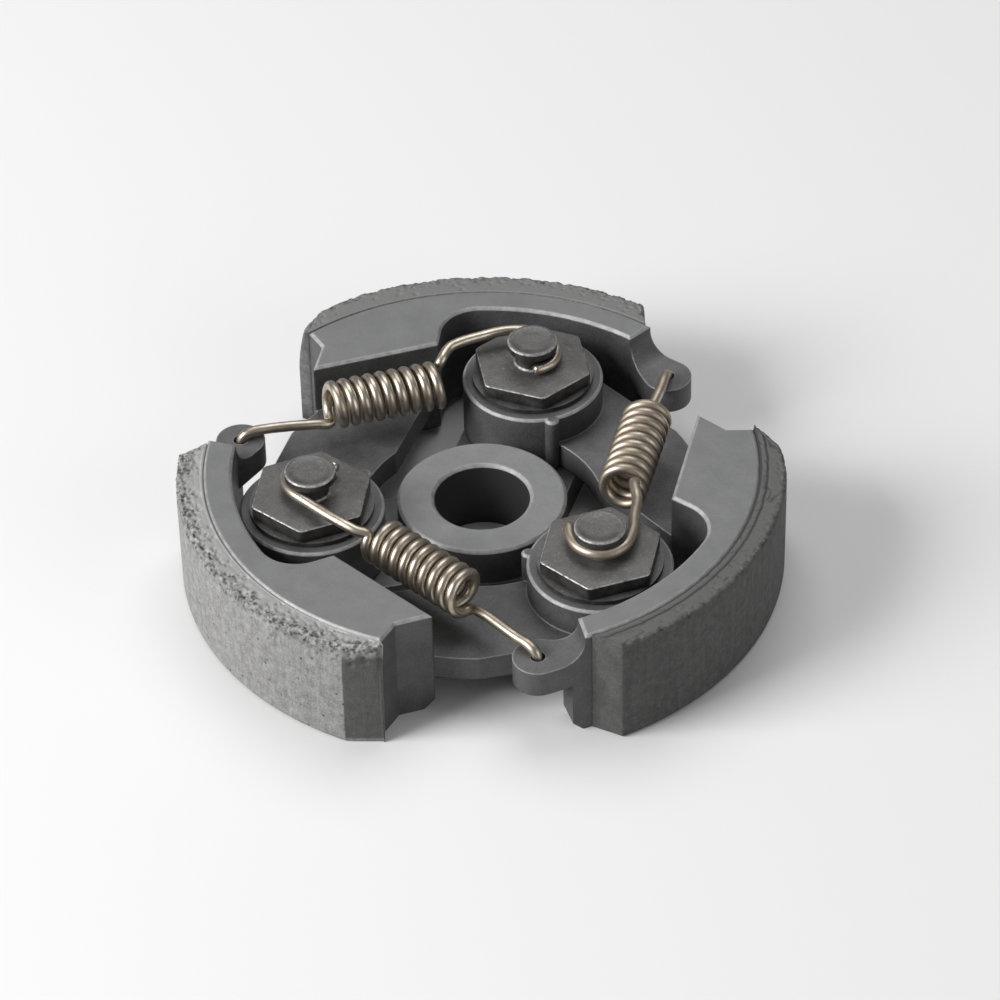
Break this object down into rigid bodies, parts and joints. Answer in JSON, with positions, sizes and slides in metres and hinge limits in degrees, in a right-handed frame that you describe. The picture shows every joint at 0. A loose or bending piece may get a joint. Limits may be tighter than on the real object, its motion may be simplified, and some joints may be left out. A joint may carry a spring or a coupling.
{
  "type": "centrifugal clutch",
  "caption": "Centrifugal clutch: a bored hub carries swinging shoes with curved friction linings on shoulder studs, held in by coil return springs until speed throws them out.",
  "frame": {"origin": "hub axis, level with the flat underside of hub and shoes", "axes": "+Z along the hub axis, up from the underside to the studs' heads; +X to the right and +Y away in the picture"},
  "size_m": [0.076, 0.0726, 0.0181],
  "materials": {
    "carrier_steel": "sintered, fine matt grain",
    "stud_steel": "black oxide, scuffed edges",
    "shoe_metal": "sintered, fine matt grain",
    "lining": "rough, pitted, matt",
    "spring_steel": "drawn wire, warm tint"
  },
  "bodies": {
    "carrier": {"hub_carrier": "carrier_steel", "pivot_stud_1": "stud_steel", "pivot_washer_1": "stud_steel", "return_spring_1": "spring_steel", "pivot_stud_2": "stud_steel", "pivot_washer_2": "stud_steel", "return_spring_2": "spring_steel", "pivot_stud_3": "stud_steel", "pivot_washer_3": "stud_steel", "return_spring_3": "spring_steel"},
    "shoe_1": {"shoe_body_1": "shoe_metal", "friction_lining_1": "lining"},
    "shoe_2": {"shoe_body_2": "shoe_metal", "friction_lining_2": "lining"},
    "shoe_3": {"shoe_body_3": "shoe_metal", "friction_lining_3": "lining"}
  },
  "joints": [
    {"name": "shoe_1_swing", "type": "hinge", "parent": "carrier", "child": "shoe_1", "pos_m": [0.00679, 0.0204, 0.0084], "axis": [0, 0, 1], "range_deg": [0, 5], "stiffness_Nm_per_rad": 5, "springref_deg": -3.44, "deforming": ["return_spring_1"]},
    {"name": "shoe_2_swing", "type": "hinge", "parent": "carrier", "child": "shoe_2", "pos_m": [-0.02106, -0.00432, 0.0084], "axis": [0, 0, 1], "range_deg": [0, 5], "stiffness_Nm_per_rad": 5, "springref_deg": -3.44, "deforming": ["return_spring_2"]},
    {"name": "shoe_3_swing", "type": "hinge", "parent": "carrier", "child": "shoe_3", "pos_m": [0.01427, -0.01608, 0.0084], "axis": [0, 0, 1], "range_deg": [0, 5], "stiffness_Nm_per_rad": 5, "springref_deg": -3.44, "deforming": ["return_spring_3"]}
  ]
}
